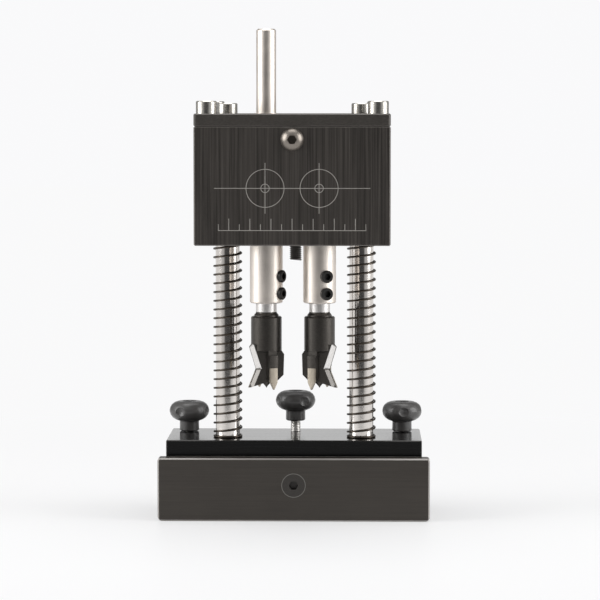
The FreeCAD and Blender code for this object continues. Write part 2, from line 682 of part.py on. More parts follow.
def spur_carrier(turn):
    """The steel arm that carries a spur, from the core out to it."""
    half = SPUR_WIDTH / 2 + 0.4
    inner = BIT_CUTTING_RADIUS - SPUR_DEPTH
    shape = slab(0, inner, -half, half, SPUR_POINT + 1.4, BIT_BODY_BOTTOM + 1)
    cap = slab(0, BIT_CUTTING_RADIUS - 0.3, -half, half, SPUR_HEIGHT, CARRIER_TOP)
    shape = shape.fuse(cap).common(rod(BIT_CUTTING_RADIUS - 0.3, -1, WING_TOP))
    return turned_by(shape, turn - 90)


def bit_pieces():
    """The steel and the hard tips of the left bit, on the Z axis, spur points at z = 0."""
    steel = turned([(0, 0.2), (0.6, POINT_HEIGHT), (CORE_RADIUS, 4.4), (CORE_RADIUS, WING_TOP), (0, WING_TOP)])
    front_turn = WING_TURN - 90
    steel = steel.fuse(turned_by(front_wing(), front_turn))
    steel = steel.fuse(turned_by(back_wing(), front_turn + 180))
    for half_turn in (0, 180):
        steel = steel.fuse(spur_carrier(SPUR_TURN + half_turn))
    cutter = turned_by(cutter_slab().common(front_wing()), front_turn)
    tips = [cutter]
    steel = steel.cut(cutter)
    for half_turn in (0, 180):
        spur = spur_blank(SPUR_TURN + half_turn)
        steel = steel.cut(spur)
        tips.append(spur)
    top = BIT_LENGTH_SHOWN - BIT_SHANK_SHOWN - BIT_NECK_LENGTH
    steel = steel.fuse(turned([
        (0, BIT_BODY_BOTTOM), (BIT_BODY_RADIUS - 1.5, BIT_BODY_BOTTOM), (BIT_BODY_RADIUS, BIT_BODY_BOTTOM + 1.0),
        (BIT_BODY_RADIUS, top - 0.5), (BIT_BODY_RADIUS - 0.5, top), (0, top)]))
    neck_top = top + BIT_NECK_LENGTH
    end = BIT_LENGTH_SHOWN + BIT_SHANK_IN_COLLET - FREE
    shank = BIT_SHANK_RADIUS
    steel = steel.fuse(turned([
        (0, top - 0.01), (shank + 0.9, top - 0.01), (shank + 0.9, top + 0.7),
        (shank + 0.1, neck_top - 0.3), (shank, neck_top), (shank, end - 1), (shank - 1, end), (0, end)]))
    return steel.removeSplitter(), Part.makeCompound(tips)


def mirrored(shape):
    """The right bit cuts the other way round, so it is the left one's mirror image."""
    return shape.mirror(vec(0, 0, 0), vec(1, 0, 0))


def make_bit(name, side):
    steel, tips = bit_pieces()
    if name == "right":
        steel = mirrored(steel)
        tips = mirrored(tips)
    low = COLLET_Z - BIT_LENGTH_SHOWN
    return placed(steel, side * SPINDLE_X, SPINDLE_Y, low), placed(tips, side * SPINDLE_X, SPINDLE_Y, low)


def knob_head_profile():
    """The knob's outline as a turned face: a hub under a round, flattened head."""
    hub = KNOB_HUB_RADIUS
    lower = KNOB_WIDEST - KNOB_HUB_HEIGHT
    upper = KNOB_HEIGHT - KNOB_WIDEST
    points = [(KNOB_STUD_RADIUS, 0), (hub, 0), (hub - 0.2, KNOB_HUB_HEIGHT - 0.6)]
    for step in range(7):
        angle = math.radians(-62 + 62 * step / 6)
        flat = abs(math.cos(angle)) ** 0.75
        points.append((hub + 0.1 + (KNOB_RADIUS - hub - 0.1) * flat, KNOB_WIDEST + lower * math.sin(angle)))
    for step in range(1, 8):
        angle = math.radians(90 * step / 8)
        radius = KNOB_RECESS_RADIUS + 0.6 + (KNOB_RADIUS - KNOB_RECESS_RADIUS - 0.6) * math.cos(angle) ** 0.85
        points.append((radius, KNOB_WIDEST + upper * math.sin(angle)))
    points += [(KNOB_RECESS_RADIUS, KNOB_HEIGHT), (KNOB_RECESS_RADIUS, KNOB_HEIGHT - KNOB_RECESS_DEPTH)]
    points += [(0, KNOB_HEIGHT - KNOB_RECESS_DEPTH), (0, KNOB_STUD_IN_KNOB), (KNOB_STUD_RADIUS, KNOB_STUD_IN_KNOB)]
    return points


def make_knob(x, hub_z, first_dimple):
    """A round hand knob with finger dimples, on a metal stud."""
    shape = turned(knob_head_profile())
    reach = KNOB_RADIUS + KNOB_DIMPLE_RADIUS - 1.3
    for step in range(KNOB_DIMPLES):
        angle = math.radians(first_dimple - 90 + 360 * step / KNOB_DIMPLES)
        centre = vec(reach * math.cos(angle), reach * math.sin(angle), KNOB_WIDEST + 0.3)
        shape = shape.cut(Part.makeSphere(KNOB_DIMPLE_RADIUS, centre))
    return placed(shape, x, KNOB_Y, hub_z)


def make_stud(x, hub_z, below):
    """The threaded stud of a knob, from inside the knob down to its end."""
    radius = KNOB_STUD_RADIUS
    low = hub_z - below
    high = hub_z + KNOB_STUD_IN_KNOB
    profile = [(0, low), (radius - SCREW_EDGE, low), (radius, low + SCREW_EDGE), (radius, high), (0, high)]
    return placed(turned(profile), x, KNOB_Y, 0)


def lock_stud_below():
    """How far a lock stud reaches below its hub: to the roof of the side rod's bore."""
    roof = ROD_BORE_HEIGHT + ROD_BORE_RADIUS
    return BASE_HEIGHT + LOCK_KNOB_RAISED - roof - RUNNING


def save(name, shape):
    os.makedirs("parts", exist_ok=True)
    solids = len(shape.Solids)
    print(name, "solids", solids, "volume", round(shape.Volume, 1), "valid", shape.isValid())
    shape.exportStep(os.path.join("parts", name + ".step"))


def main():
    save("base_block", make_base_block())
    save("fence_plate", make_fence_plate())
    save("fence_screw", make_fence_screw())
    save("fence_dowels", make_fence_dowels())
    save("column_foot_screws", make_column_foot_screws())
    save("column_top_screws", make_column_top_screws())
    save("stop_washers", make_stop_washers())
    save("gear_housing", make_housing())
    save("top_plate", make_top_plate())
    save("plate_screws", make_plate_screws())
    save("filler_plug", make_filler_plug())
    save("stop_stud", make_stop_stud())
    for name, side in SIDES.items():
        save(name + "_column", make_column(side))
        save(name + "_spring", make_spring(side))
        save(name + "_bush", make_bush(side))
        save(name + "_lower_bearing", make_bearing(side, BEARING_Z))
        save(name + "_upper_bearing", make_bearing(side, PLATE_Z))
        save(name + "_spindle", make_spindle(name, side))
        save(name + "_set_screws", make_set_screws(name, side))
        save(name + "_clip", make_clip(side))
        save(name + "_spacers", make_spacers(side))
        save(name + "_gear", make_gear(name, side))
        save(name + "_key", make_key(side))
        steel, tips = make_bit(name, side)
        save(name + "_bit", steel)
        save(name + "_bit_tips", tips)
        hub_z = BASE_HEIGHT + LOCK_KNOB_RAISED
        dimple = {"left": 65.0, "right": 5.0}[name]
        save(name + "_lock_knob", make_knob(side * LOCK_X, hub_z, dimple))
        save(name + "_lock_stud", make_stud(side * LOCK_X, hub_z, lock_stud_below()))
    hub_z = BASE_HEIGHT + STOP_KNOB_RAISED
    save("depth_knob", make_knob(0, hub_z, 29.0))
    save("depth_stud", make_stud(0, hub_z, STOP_KNOB_RAISED + DEPTH_STUD_IN_BASE))


main()
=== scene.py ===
# %% [markdown]
# # A hinge drilling jig, dressed in Blender
#
# This lesson takes a drilling jig whose metal pieces already exist as CAD solids, and
# gives every surface its finish. The few shapes that CAD keeps plain, such as moulded
# knobs and screw threads, are modelled here.

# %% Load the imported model
import math

import bpy
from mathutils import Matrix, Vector


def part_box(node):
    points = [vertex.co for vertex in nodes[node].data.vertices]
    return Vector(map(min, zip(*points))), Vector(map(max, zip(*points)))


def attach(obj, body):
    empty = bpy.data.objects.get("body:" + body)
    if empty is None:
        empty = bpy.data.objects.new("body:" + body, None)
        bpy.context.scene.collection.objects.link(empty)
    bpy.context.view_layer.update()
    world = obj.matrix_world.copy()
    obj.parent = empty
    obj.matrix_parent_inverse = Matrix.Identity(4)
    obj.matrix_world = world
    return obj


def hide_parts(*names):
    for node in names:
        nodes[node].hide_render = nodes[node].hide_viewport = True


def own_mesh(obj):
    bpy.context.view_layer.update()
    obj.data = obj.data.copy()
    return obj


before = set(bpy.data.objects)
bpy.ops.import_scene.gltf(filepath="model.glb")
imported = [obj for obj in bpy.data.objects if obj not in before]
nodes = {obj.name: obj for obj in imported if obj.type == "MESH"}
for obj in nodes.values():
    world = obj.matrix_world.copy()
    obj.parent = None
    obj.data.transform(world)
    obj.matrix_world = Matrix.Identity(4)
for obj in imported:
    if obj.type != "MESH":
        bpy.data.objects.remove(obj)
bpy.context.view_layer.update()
print("CAD nodes:", len(nodes))

# %% [markdown]
# ## Writing shader sums as plain expressions
#
# A finish is easier to read as arithmetic than as a web of nodes. The small class below
# wraps an output socket, so that adding or multiplying two of them adds a Math node.


# %% Expressions on sockets
class Value:
    """An output socket that can be added, multiplied and compared."""

    def __init__(self, finish, socket):
        self.finish = finish
        self.socket = socket

    def __add__(self, other):
        return self.finish.math("ADD", self, other)

    def __radd__(self, other):
        return self.finish.math("ADD", other, self)

    def __sub__(self, other):
        return self.finish.math("SUBTRACT", self, other)

    def __rsub__(self, other):
        return self.finish.math("SUBTRACT", other, self)

    def __mul__(self, other):
        return self.finish.math("MULTIPLY", self, other)

    def __rmul__(self, other):
        return self.finish.math("MULTIPLY", other, self)

    def __truediv__(self, other):
        return self.finish.math("DIVIDE", self, other)

    def __abs__(self):
        return self.finish.math("ABSOLUTE", self)

    def near(self, place, width):
        """1 where the value lies within a width of a place."""
        return abs(self - place).below(width)

    def above(self, limit):
        return self.finish.math("GREATER_THAN", self, limit)

    def below(self, limit):
        return self.finish.math("LESS_THAN", self, limit)


class Finish:
    """One material: a Principled shader and the expressions that feed it."""

    def __init__(self, name, **settings):
        self.material = bpy.data.materials.new(name)
        self.material.use_nodes = True
        self.tree = self.material.node_tree
        self.tree.nodes.clear()
        self.shader = self.tree.nodes.new("ShaderNodeBsdfPrincipled")
        self.output = self.tree.nodes.new("ShaderNodeOutputMaterial")
        self.tree.links.new(self.shader.outputs[0], self.output.inputs["Surface"])
        self.place = self.node("ShaderNodeTexCoord", {}, {}, "Object")
        axes = self.node("ShaderNodeSeparateXYZ", {}, {0: self.place}, None)
        self.x, self.y, self.z = (Value(self, socket) for socket in axes.outputs)
        for socket, value in settings.items():
            self.feed(socket.replace("_", " ").title(), value)

    def node(self, kind, settings, inputs, output=0):
        """Adds a node, sets it up, fills its sockets and returns one output, or the node itself."""
        node = self.tree.nodes.new(kind)
        for key, value in settings.items():
            setattr(node, key, value)
        for key, value in inputs.items():
            self.fill(node.inputs[key], value)
        return node if output is None else Value(self, node.outputs[output])

    def fill(self, socket, value):
        if isinstance(value, Value):
            self.tree.links.new(value.socket, socket)
        elif isinstance(value, tuple) and len(value) == 3 and socket.type == "RGBA":
            socket.default_value = (*value, 1.0)
        else:
            socket.default_value = value

    def feed(self, name, value):
        self.fill(self.shader.inputs[name], value)

    def math(self, operation, first, second=0.0):
        return self.node("ShaderNodeMath", {"operation": operation}, {0: first, 1: second})

    def limit(self, value):
        return self.node("ShaderNodeClamp", {}, {0: value})

    def mix(self, factor, first, second):
        return self.node("ShaderNodeMix", {"data_type": "RGBA"}, {0: factor, 6: first, 7: second}, 2)

    def noise(self, stretch, detail=2.0):
        """Noise with its own number of grains per metre along X, Y and Z."""
        place = self.node("ShaderNodeMapping", {"vector_type": "POINT"}, {0: self.place, 3: stretch})
        return self.node("ShaderNodeTexNoise", {"noise_dimensions": "3D"},
                         {"Vector": place, "Scale": 1.0, "Detail": detail, "Roughness": 0.6})

    def bump(self, height, depth):
        """Raises the surface by height, from 0 to 1, times depth in metres."""
        normal = self.node("ShaderNodeBump", {}, {"Height": height, "Distance": depth, "Strength": 1.0})
        self.feed("Normal", normal)


# %% [markdown]
# ## Black anodised blocks
#
# The head, its cover and the base are machined aluminium, anodised black. The head's
# faces are brushed straight up and down. Noise that is stretched along Z gives these
# hairlines. The broken corners catch the light, so a mask that finds where two faces
# meet makes them paler. The base's top is polished, and mirrors the wall behind it.

# %% Corners of a box
MM = 0.001


def corner_mask(finish, low, high, width):
    """1 where a point lies near two or more faces of a box."""
    centre = [(a + b) / 2 for a, b in zip(low, high)]
    half = [(b - a) / 2 for a, b in zip(low, high)]
    near = 0.0
    for axis, middle, reach in zip((finish.x, finish.y, finish.z), centre, half):
        near = abs(axis - middle).above(reach - width) + near
    return finish.limit(near - 1.0)


# The line drawing on the head's front: heights, widths and reaches from the middle
LINE_WIDTH = 0.15 * MM
PATTERN_Z = 163.5 * MM
HOLE_X = 12.8 * MM
HOLE_RADIUS = 9.0 * MM
CENTRE_RADIUS = 2.0 * MM
ACROSS_REACH = 37.0 * MM
UPRIGHT_REACH = 12.0 * MM
SCALE_Z = 143.5 * MM
SCALE_REACH = 35.1 * MM
SMALL_STEP = 2.5 * MM
SMALL_MARK = 1.5 * MM
TALL_STEP = 5.0 * MM
TALL_MARK = 2.8 * MM
FRONT_DEPTH = 0.1 * MM
ENGRAVED = (0.42, 0.40, 0.37)


def engraved_lines(finish, front_y):
    """A plain drawing on the head's front: the two holes, their centre lines and a scale."""
    rise = finish.z - PATTERN_Z
    lines = rise.near(0.0, LINE_WIDTH) * abs(finish.x).below(ACROSS_REACH)
    for hole in (-HOLE_X, HOLE_X):
        along = finish.x - hole
        reach = finish.math("SQRT", along * along + rise * rise)
        lines = lines + reach.near(HOLE_RADIUS, LINE_WIDTH) + reach.near(CENTRE_RADIUS, LINE_WIDTH)
        lines = lines + along.near(0.0, LINE_WIDTH) * abs(rise).below(UPRIGHT_REACH)
    over_scale = finish.z - SCALE_Z
    step = finish.math("PINGPONG", finish.x, SMALL_STEP)
    small = step.below(LINE_WIDTH) * over_scale.near(SMALL_MARK, SMALL_MARK)
    far = finish.math("PINGPONG", finish.x, TALL_STEP)
    tall = far.below(LINE_WIDTH) * over_scale.near(TALL_MARK, TALL_MARK)
    lines = lines + (small + tall + over_scale.near(0.0, LINE_WIDTH)) * abs(finish.x).below(SCALE_REACH)
    return finish.limit(lines) * finish.y.below(front_y + FRONT_DEPTH)


ANODISED_METALLIC = 0.35
POLISH_ROUGHNESS = 0.08
POLISH_DEPTH = 0.1 * MM
BROAD_TONE = (40.0, 40.0, 40.0)
EDGE_SHARE = 0.75
HAIR_BUMP = 0.00001


def scaled(colour, share):
    return tuple(min(channel * share, 1.0) for channel in colour)


def anodised(name, node, colour, edge, hair, strength, roughness, engraved=False, coat=0.0, edge_width=0.45):
    """Brushed black aluminium; hair is the grain's stretch along each axis."""
    finish = Finish(name, metallic=ANODISED_METALLIC, coat_roughness=POLISH_ROUGHNESS)
    grain = finish.noise(hair, 3.0)
    broad = finish.noise(BROAD_TONE, 2.0)
    tone = finish.limit((grain - 0.5) * strength + (broad - 0.5) * 0.25 + 0.5)
    body = finish.mix(tone, scaled(colour, 0.6), scaled(colour, 1.4))
    low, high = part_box(node)
    finish.feed("Coat Weight", finish.z.above(high[2] - POLISH_DEPTH) * coat)
    mask = corner_mask(finish, low, high, edge_width * MM)
    seen = finish.mix(mask * EDGE_SHARE, body, edge)
    if engraved:
        seen = finish.mix(engraved_lines(finish, low[1]), seen, ENGRAVED)
    finish.feed("Base Color", seen)
    finish.feed("Roughness", finish.limit(roughness + (grain - 0.5) * 0.25))
    finish.bump(grain, HAIR_BUMP)
    return finish


head_black = anodised("brushed_black_head", "gear_housing", (0.052, 0.046, 0.041), (0.20, 0.185, 0.17),
                      (1400.0, 1400.0, 14.0), 3.4, 0.42, engraved=True)
cover_black = anodised("satin_black_cover", "top_plate", (0.062, 0.056, 0.050), (0.13, 0.12, 0.11),
                       (700.0, 900.0, 2400.0), 1.2, 0.42)
base_black = anodised("satin_black_base", "base_block", (0.006, 0.006, 0.006), (0.05, 0.048, 0.045),
                      (16.0, 1300.0, 1300.0), 1.6, 0.20, coat=0.8)
base_black.feed("Specular IOR Level", 0.2)
fence_brown = anodised("satin_brown_fence", "fence_plate", (0.044, 0.038, 0.032), (0.42, 0.40, 0.38),
                       (30.0, 1500.0, 1500.0), 0.7, 0.40, edge_width=0.72)
print("anodised finishes made")

# %% [markdown]
# ## Steel
#
# The columns and spindles are ground and turned, which leaves very fine rings round
# them. Noise that changes fast along Z and slowly across gives these rings. The columns
# are hard chrome and so smooth that the dim side behind the camera shows in them as a
# dark stripe. The spindles are rougher, so they look lighter and more even.


# %% Steel finishes
RINGS = (60.0, 60.0, 5200.0)
RING_HAZE = (180.0, 180.0, 120.0)
RING_DEPTH = 0.000004
GRIT = (2500.0, 2500.0, 2500.0)
GRIT_HAZE = (260.0, 260.0, 260.0)
GRIT_DEPTH = 0.000008


def turned_steel(name, colour, roughness):
    """A bright finish with fine rings round Z."""
    finish = Finish(name, metallic=1.0)
    ring = finish.noise(RINGS, 2.0)
    haze = finish.noise(RING_HAZE, 3.0)
    tone = finish.limit(0.5 + (ring - 0.5) * 0.5 + (haze - 0.5) * 0.8)
    finish.feed("Base Color", finish.mix(tone, scaled(colour, 0.88), scaled(colour, 1.1)))
    finish.feed("Roughness", finish.limit(roughness + (haze - 0.5) * 0.12 + (ring - 0.5) * 0.08))
    finish.bump(ring, RING_DEPTH)
    return finish


def fine_steel(name, colour, roughness, metallic=1.0):
    """A finish with no direction, as on plated screws, wire or moulded parts."""
    finish = Finish(name, metallic=metallic)
    grit = finish.noise(GRIT, 2.0)
    haze = finish.noise(GRIT_HAZE, 2.0)
    tone = finish.limit(0.5 + (grit - 0.5) * 0.6 + (haze - 0.5) * 0.7)
    finish.feed("Base Color", finish.mix(tone, scaled(colour, 0.8), scaled(colour, 1.2)))
    finish.feed("Roughness", finish.limit(roughness + (haze - 0.5) * 0.15))
    finish.bump(grit, GRIT_DEPTH)
    return finish


ground_steel = turned_steel("ground_steel", (0.82, 0.755, 0.69), 0.40)
chrome = turned_steel("hard_chrome", (0.70, 0.665, 0.63), 0.13)
screw_steel = fine_steel("plated_screw_steel", (0.56, 0.54, 0.50), 0.26)
stud_steel = fine_steel("bright_plated_studs", (0.80, 0.78, 0.75), 0.42)
button_steel = fine_steel("brushed_button_steel", (0.24, 0.215, 0.19), 0.34)
black_oxide = fine_steel("black_oxide_screws", (0.022, 0.021, 0.020), 0.34, 0.6)
stud_oxide = fine_steel("black_oxide_stud", (0.075, 0.070, 0.065), 0.30, 0.8)
spring_wire = fine_steel("oiled_spring_wire", (0.075, 0.062, 0.050), 0.30, 0.85)
gear_steel = fine_steel("machined_gear_steel", (0.34, 0.33, 0.31), 0.35)
bronze = fine_steel("sintered_bronze", (0.50, 0.33, 0.16), 0.45)
carbide = fine_steel("ground_carbide", (0.44, 0.39, 0.32), 0.36, 0.75)

# %% [markdown]
# The flush screw in the fence has the fence's own brown, and a painted highlight: a bright ring at its rim,
# where the edge catches the light.

# %% Fence screw finish
SCREW_Z = 17.7 * MM
RIM_RADIUS = 5.75 * MM
RIM_WIDTH = 0.16 * MM
# Strength and colour of the painted highlight at the screw's rim
RIM_HIGHLIGHT_SHARE = 0.6
RIM_HIGHLIGHT_COLOUR = (0.25, 0.24, 0.22)
fence_screw_brown = Finish("brown_fence_screw", metallic=ANODISED_METALLIC)
screw_grain = fence_screw_brown.noise((1500.0, 1500.0, 1500.0), 2.0)
screw_rise = fence_screw_brown.z - SCREW_Z
screw_across = fence_screw_brown.x
from_centre = fence_screw_brown.math("SQRT", screw_across * screw_across + screw_rise * screw_rise)
# Painted highlight: a thin bright ring round the screw's rim.
screw_rim_highlight = from_centre.near(RIM_RADIUS, RIM_WIDTH)
screw_body = fence_screw_brown.mix(screw_grain, (0.028, 0.025, 0.022), (0.05, 0.045, 0.04))
fence_screw_brown.feed("Base Color", fence_screw_brown.mix(screw_rim_highlight * RIM_HIGHLIGHT_SHARE, screw_body, RIM_HIGHLIGHT_COLOUR))
fence_screw_brown.feed("Roughness", 0.36 + screw_grain * 0.1)
fence_screw_brown.bump(screw_grain, 0.000006)
print("steel finishes made")

# %% [markdown]
# ## Bits
#
# Each bit has a dark coated body and a bright shank. Two narrow lands on its cutting
# wing are ground: the upper one is uncoated and pale, and the lower one is duller. The upper
# land's paleness is partly a painted highlight, where its facet catches light from the left.
# Each land is a flat face, so a mask that is 1 only in the plane of that face picks it out.

# %% Bit finish
bit_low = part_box("left_bit")[0]
SHANK_Z = bit_low[2] + 36.9 * MM
LOWER_LAND_SHARE = 0.12
BIT_X = 12.8 * MM
BIT_Y = -33.5 * MM
WING_TURN = math.radians(-168.0)
# Three corners of each land, in millimetres, before the wing is turned
LAND_CORNERS = {
    "upper": ((7.2, 5.0, 21.7), (3.4, 5.0, 10.3), (8.5, 2.0, 20.3)),
    "lower": ((4.1, 5.0, 8.5), (7.1, 5.0, 1.3), (9.0, 3.5, 0.6)),
}
LAND_DEPTH = 0.08 * MM
LAND_MARGIN = 0.6 * MM
WING_ROOT = 1.6 * MM


def land_mask(finish, side, corners):
    """1 on a ground land: the points of the wing that lie in the plane through three corners."""
    turned = []
    for x, y, z in corners:
        across = x * math.cos(WING_TURN) - y * math.sin(WING_TURN)
        back = x * math.sin(WING_TURN) + y * math.cos(WING_TURN)
        turned.append(Vector((side * (BIT_X - across * MM), BIT_Y + back * MM, bit_low[2] + z * MM)))
    first, second, third = turned
    normal = (second - first).cross(third - first).normalized()
    level = finish.x * normal.x + finish.y * normal.y + finish.z * normal.z
    lowest, highest = sorted(z for x, y, z in corners)[::2]
    middle, half = (lowest + highest) / 2 * MM, (highest - lowest) / 2 * MM
    outward = (finish.x * side - BIT_X) * -math.cos(WING_TURN) + (finish.y - BIT_Y) * math.sin(WING_TURN)
    within = (finish.z - bit_low[2]).near(middle, half + LAND_MARGIN)
    return level.near(normal.dot(first), LAND_DEPTH) * within * outward.above(WING_ROOT)


def bit_finish(name, side):
    finish = Finish(name, metallic=0.9)
    grain = finish.noise((900.0, 900.0, 2600.0), 3.0)
    # The upper land is uncoated ground steel, and its paleness is partly a painted highlight where its facet
    # catches light from the left.
    upper = land_mask(finish, side, LAND_CORNERS["upper"])
    lower = land_mask(finish, side, LAND_CORNERS["lower"])
    bright = finish.limit(upper + lower * LOWER_LAND_SHARE + finish.z.above(SHANK_Z))
    coated = finish.mix(grain, (0.045, 0.041, 0.037), (0.10, 0.092, 0.083))
    # Colour of the uncoated steel of the shank and lands, which also carries the upper land's painted
    # highlight.
    bare_steel_and_highlight = finish.mix(grain, (0.60, 0.58, 0.56), (0.90, 0.88, 0.86))
    finish.feed("Base Color", finish.mix(bright, coated, bare_steel_and_highlight))
    finish.feed("Roughness", finish.limit(0.34 + (grain - 0.5) * 0.15))
    finish.bump(grain, 0.000006)
    return finish


left_bit_steel = bit_finish("coated_left_bit", -1)
right_bit_steel = bit_finish("coated_right_bit", 1)

# %% [markdown]
# ## Moulded plastic
#
# The knobs are a hard, glossy black plastic. It is nearly smooth, with a very faint
# ripple that a mould leaves, and a clear reflection on top.

# %% Knob finish
knob_black = Finish("glossy_black_plastic", metallic=0.0, coat_roughness=0.12)
ripple = knob_black.noise((420.0, 420.0, 420.0), 2.0)
knob_black.feed("Base Color", knob_black.mix(ripple, (0.055, 0.053, 0.052), (0.078, 0.075, 0.073)))
knob_black.feed("Roughness", 0.34 + ripple * 0.1)
knob_black.feed("Coat Weight", 0.25)
knob_black.bump(ripple, 0.00003)

# %% [markdown]
# ## Giving the CAD pieces their finishes
#
# Each CAD piece keeps its shape and only gets a better material, by its name.

# %% Assign the finishes
FINISHES = {
    "base_block": base_black, "fence_plate": fence_brown, "gear_housing": head_black,
    "top_plate": cover_black, "fence_screw": fence_screw_brown, "fence_dowels": ground_steel,
    "column_foot_screws": screw_steel, "column_top_screws": screw_steel, "stop_washers": screw_steel,
    "plate_screws": screw_steel, "filler_plug": button_steel, "stop_stud": black_oxide,
    "depth_knob": knob_black, "depth_stud": ground_steel, "column": chrome, "spring": spring_wire,
    "bush": bronze, "lower_bearing": screw_steel, "upper_bearing": screw_steel, "spindle": ground_steel,
    "set_screws": black_oxide, "clip": spring_wire, "spacers": ground_steel, "gear": gear_steel,
    "key": ground_steel, "left_bit": left_bit_steel, "right_bit": right_bit_steel, "bit_tips": carbide,
    "lock_knob": knob_black, "lock_stud": ground_steel,
}


def finish_of(name):
    """The finish of a node, or of the two nodes that share a name after left_ or right_."""
    return FINISHES.get(name) or FINISHES[name.split("_", 1)[1]]


for name, piece in nodes.items():
    piece.data.materials.clear()
    piece.data.materials.append(finish_of(name).material)
print("finishes given to", len(nodes), "pieces")

# %% [markdown]
# ## The moulded knobs
#
# A knob is a round form on a short hub, with four finger dimples. A lathe would turn
# the round form, so a ring of edges is extruded ring by ring along its outline. The
# dimples are cut with balls, and a bevel softens their rims as a mould does.


# %% Helpers for modelling
def start_edit(piece):
    bpy.ops.object.select_all(action="DESELECT")
    bpy.context.view_layer.objects.active = piece
    piece.select_set(True)
    bpy.ops.object.mode_set(mode="EDIT")
    bpy.ops.mesh.select_mode(type="VERT")


def apply_modifier(piece, kind, **settings):
    """Adds a modifier with its settings and applies it at once."""
    bpy.ops.object.select_all(action="DESELECT")
    bpy.context.view_layer.objects.active = piece
    piece.select_set(True)
    modifier = piece.modifiers.new("step", kind)
    for key, value in settings.items():
        setattr(modifier, key, value)
    bpy.ops.object.modifier_apply(modifier=modifier.name)


TURNED_SIDES = 64


def turn_profile(name, centre, outline):
    """A closed turned form about a vertical axis, from (radius, height) in millimetres."""
    bpy.ops.object.select_all(action="DESELECT")
    first_radius, first_height = outline[0]
    spot = Vector((centre[0], centre[1], centre[2] + first_height * MM))
    bpy.ops.mesh.primitive_circle_add(
        vertices=TURNED_SIDES, radius=first_radius * MM, location=spot, fill_type="NGON")
    piece = bpy.context.object
    piece.name = name
    bpy.ops.object.transform_apply(location=True, rotation=True, scale=True)
    start_edit(piece)
    bpy.ops.mesh.select_all(action="SELECT")
    radius, height = first_radius, first_height
    for next_radius, next_height in outline[1:]:
        bpy.ops.mesh.extrude_region_move(
            TRANSFORM_OT_translate={"value": (0, 0, (next_height - height) * MM)})
        ratio = next_radius / radius
        middle = (centre[0], centre[1], centre[2] + next_height * MM)
        bpy.ops.transform.resize(value=(ratio, ratio, 1), center_override=middle)
        radius, height = next_radius, next_height
    bpy.ops.mesh.select_all(action="SELECT")
    bpy.ops.mesh.normals_make_consistent(inside=False)
    bpy.ops.object.mode_set(mode="OBJECT")
    return piece


# %% Model a knob
KNOB_OUTLINE = [
    (4.4, 0.05), (4.9, 0.5), (4.85, 4.3), (4.95, 4.95), (5.6, 5.25), (7.1, 5.8), (8.5, 6.8), (9.45, 8.1),
    (9.95, 9.6), (9.98, 10.5), (9.6, 12.0), (8.8, 13.3), (7.5, 14.3), (6.0, 14.85), (4.4, 15.0), (3.6, 14.9),
    (3.2, 14.5), (3.1, 12.2),
]
KNOB_Y = 24.0 * MM
DIMPLES = 4
DIMPLE_RADIUS = 4.4
DIMPLE_REACH = 13.1
DIMPLE_HEIGHT = 10.5
RIM_BEVEL = 0.45
RIM_ANGLE = math.radians(32)
SMOOTH_ANGLE = math.radians(50)


def knob(name, x, hub_z, first_dimple):
    """A moulded knob; hub_z is the foot of its hub, and first_dimple an angle in degrees."""
    piece = turn_profile(name, (x, KNOB_Y, hub_z), KNOB_OUTLINE)
    for step in range(DIMPLES):
        angle = math.radians(first_dimple - 90 + 360 / DIMPLES * step)
        spot = (x + DIMPLE_REACH * MM * math.cos(angle), KNOB_Y + DIMPLE_REACH * MM * math.sin(angle),
                hub_z + DIMPLE_HEIGHT * MM)
        bpy.ops.object.select_all(action="DESELECT")
        bpy.ops.mesh.primitive_uv_sphere_add(
            segments=32, ring_count=16, radius=DIMPLE_RADIUS * MM, location=spot)
        ball = bpy.context.object
        bpy.ops.object.transform_apply(location=True, rotation=True, scale=True)
        apply_modifier(piece, "BOOLEAN", operation="DIFFERENCE", object=ball, solver="EXACT")
        bpy.data.objects.remove(ball)
    apply_modifier(piece, "BEVEL", width=RIM_BEVEL * MM, segments=3, limit_method="ANGLE",
                   angle_limit=RIM_ANGLE)
    bpy.ops.object.shade_smooth_by_angle(angle=SMOOTH_ANGLE)
    piece.data.materials.append(knob_black.material)
    return piece


KNOBS = {
    "depth_knob": ("depth_handle", 29.0),
    "left_lock_knob": ("left_lock_handle", 65.0),
    "right_lock_knob": ("right_lock_handle", 5.0),
}
for node, (body, dimple) in KNOBS.items():
    low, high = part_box(node)
    piece = knob(node + "_moulded", (low[0] + high[0]) / 2, low[2], dimple)
    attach(piece, body)
    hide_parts(node)
    print(piece.name, "faces", len(piece.data.polygons))

# %% [markdown]
# ## Screw threads
#
# CAD keeps a thread as a plain cylinder. Here one tooth of its outline is swept round
# and up by a Screw modifier, a turn for each pitch, and the two ends are closed.


# %% Model a threaded stud
THREAD_DEPTH = 0.5
# One tooth: 0 for the root or 1 for the crest, and the height as a share of the pitch
THREAD_TOOTH = ((0, 0.0), (0, 0.1), (1, 0.36), (1, 0.7), (0, 0.94), (0, 1.0))
THREAD_STEPS = 28
MERGE_WITHIN = 0.00001


def draw_outline(name, points):
    """A line of edges in the XZ plane, from (radius, height) in metres, one extrusion for each point."""
    radius, height = points[0]
    bpy.ops.object.select_all(action="DESELECT")
    bpy.ops.mesh.primitive_plane_add(size=MM, location=(radius, 0, height))
    piece = bpy.context.object
    piece.name = name
    bpy.ops.object.transform_apply(location=True, rotation=True, scale=True)
    start_edit(piece)
    bpy.ops.mesh.select_all(action="SELECT")
    bpy.ops.mesh.merge(type="CENTER")
    for next_radius, next_height in points[1:]:
        bpy.ops.mesh.extrude_vertices_move(
            TRANSFORM_OT_translate={"value": (next_radius - radius, 0, next_height - height)})
        radius, height = next_radius, next_height
    bpy.ops.object.mode_set(mode="OBJECT")
    return piece


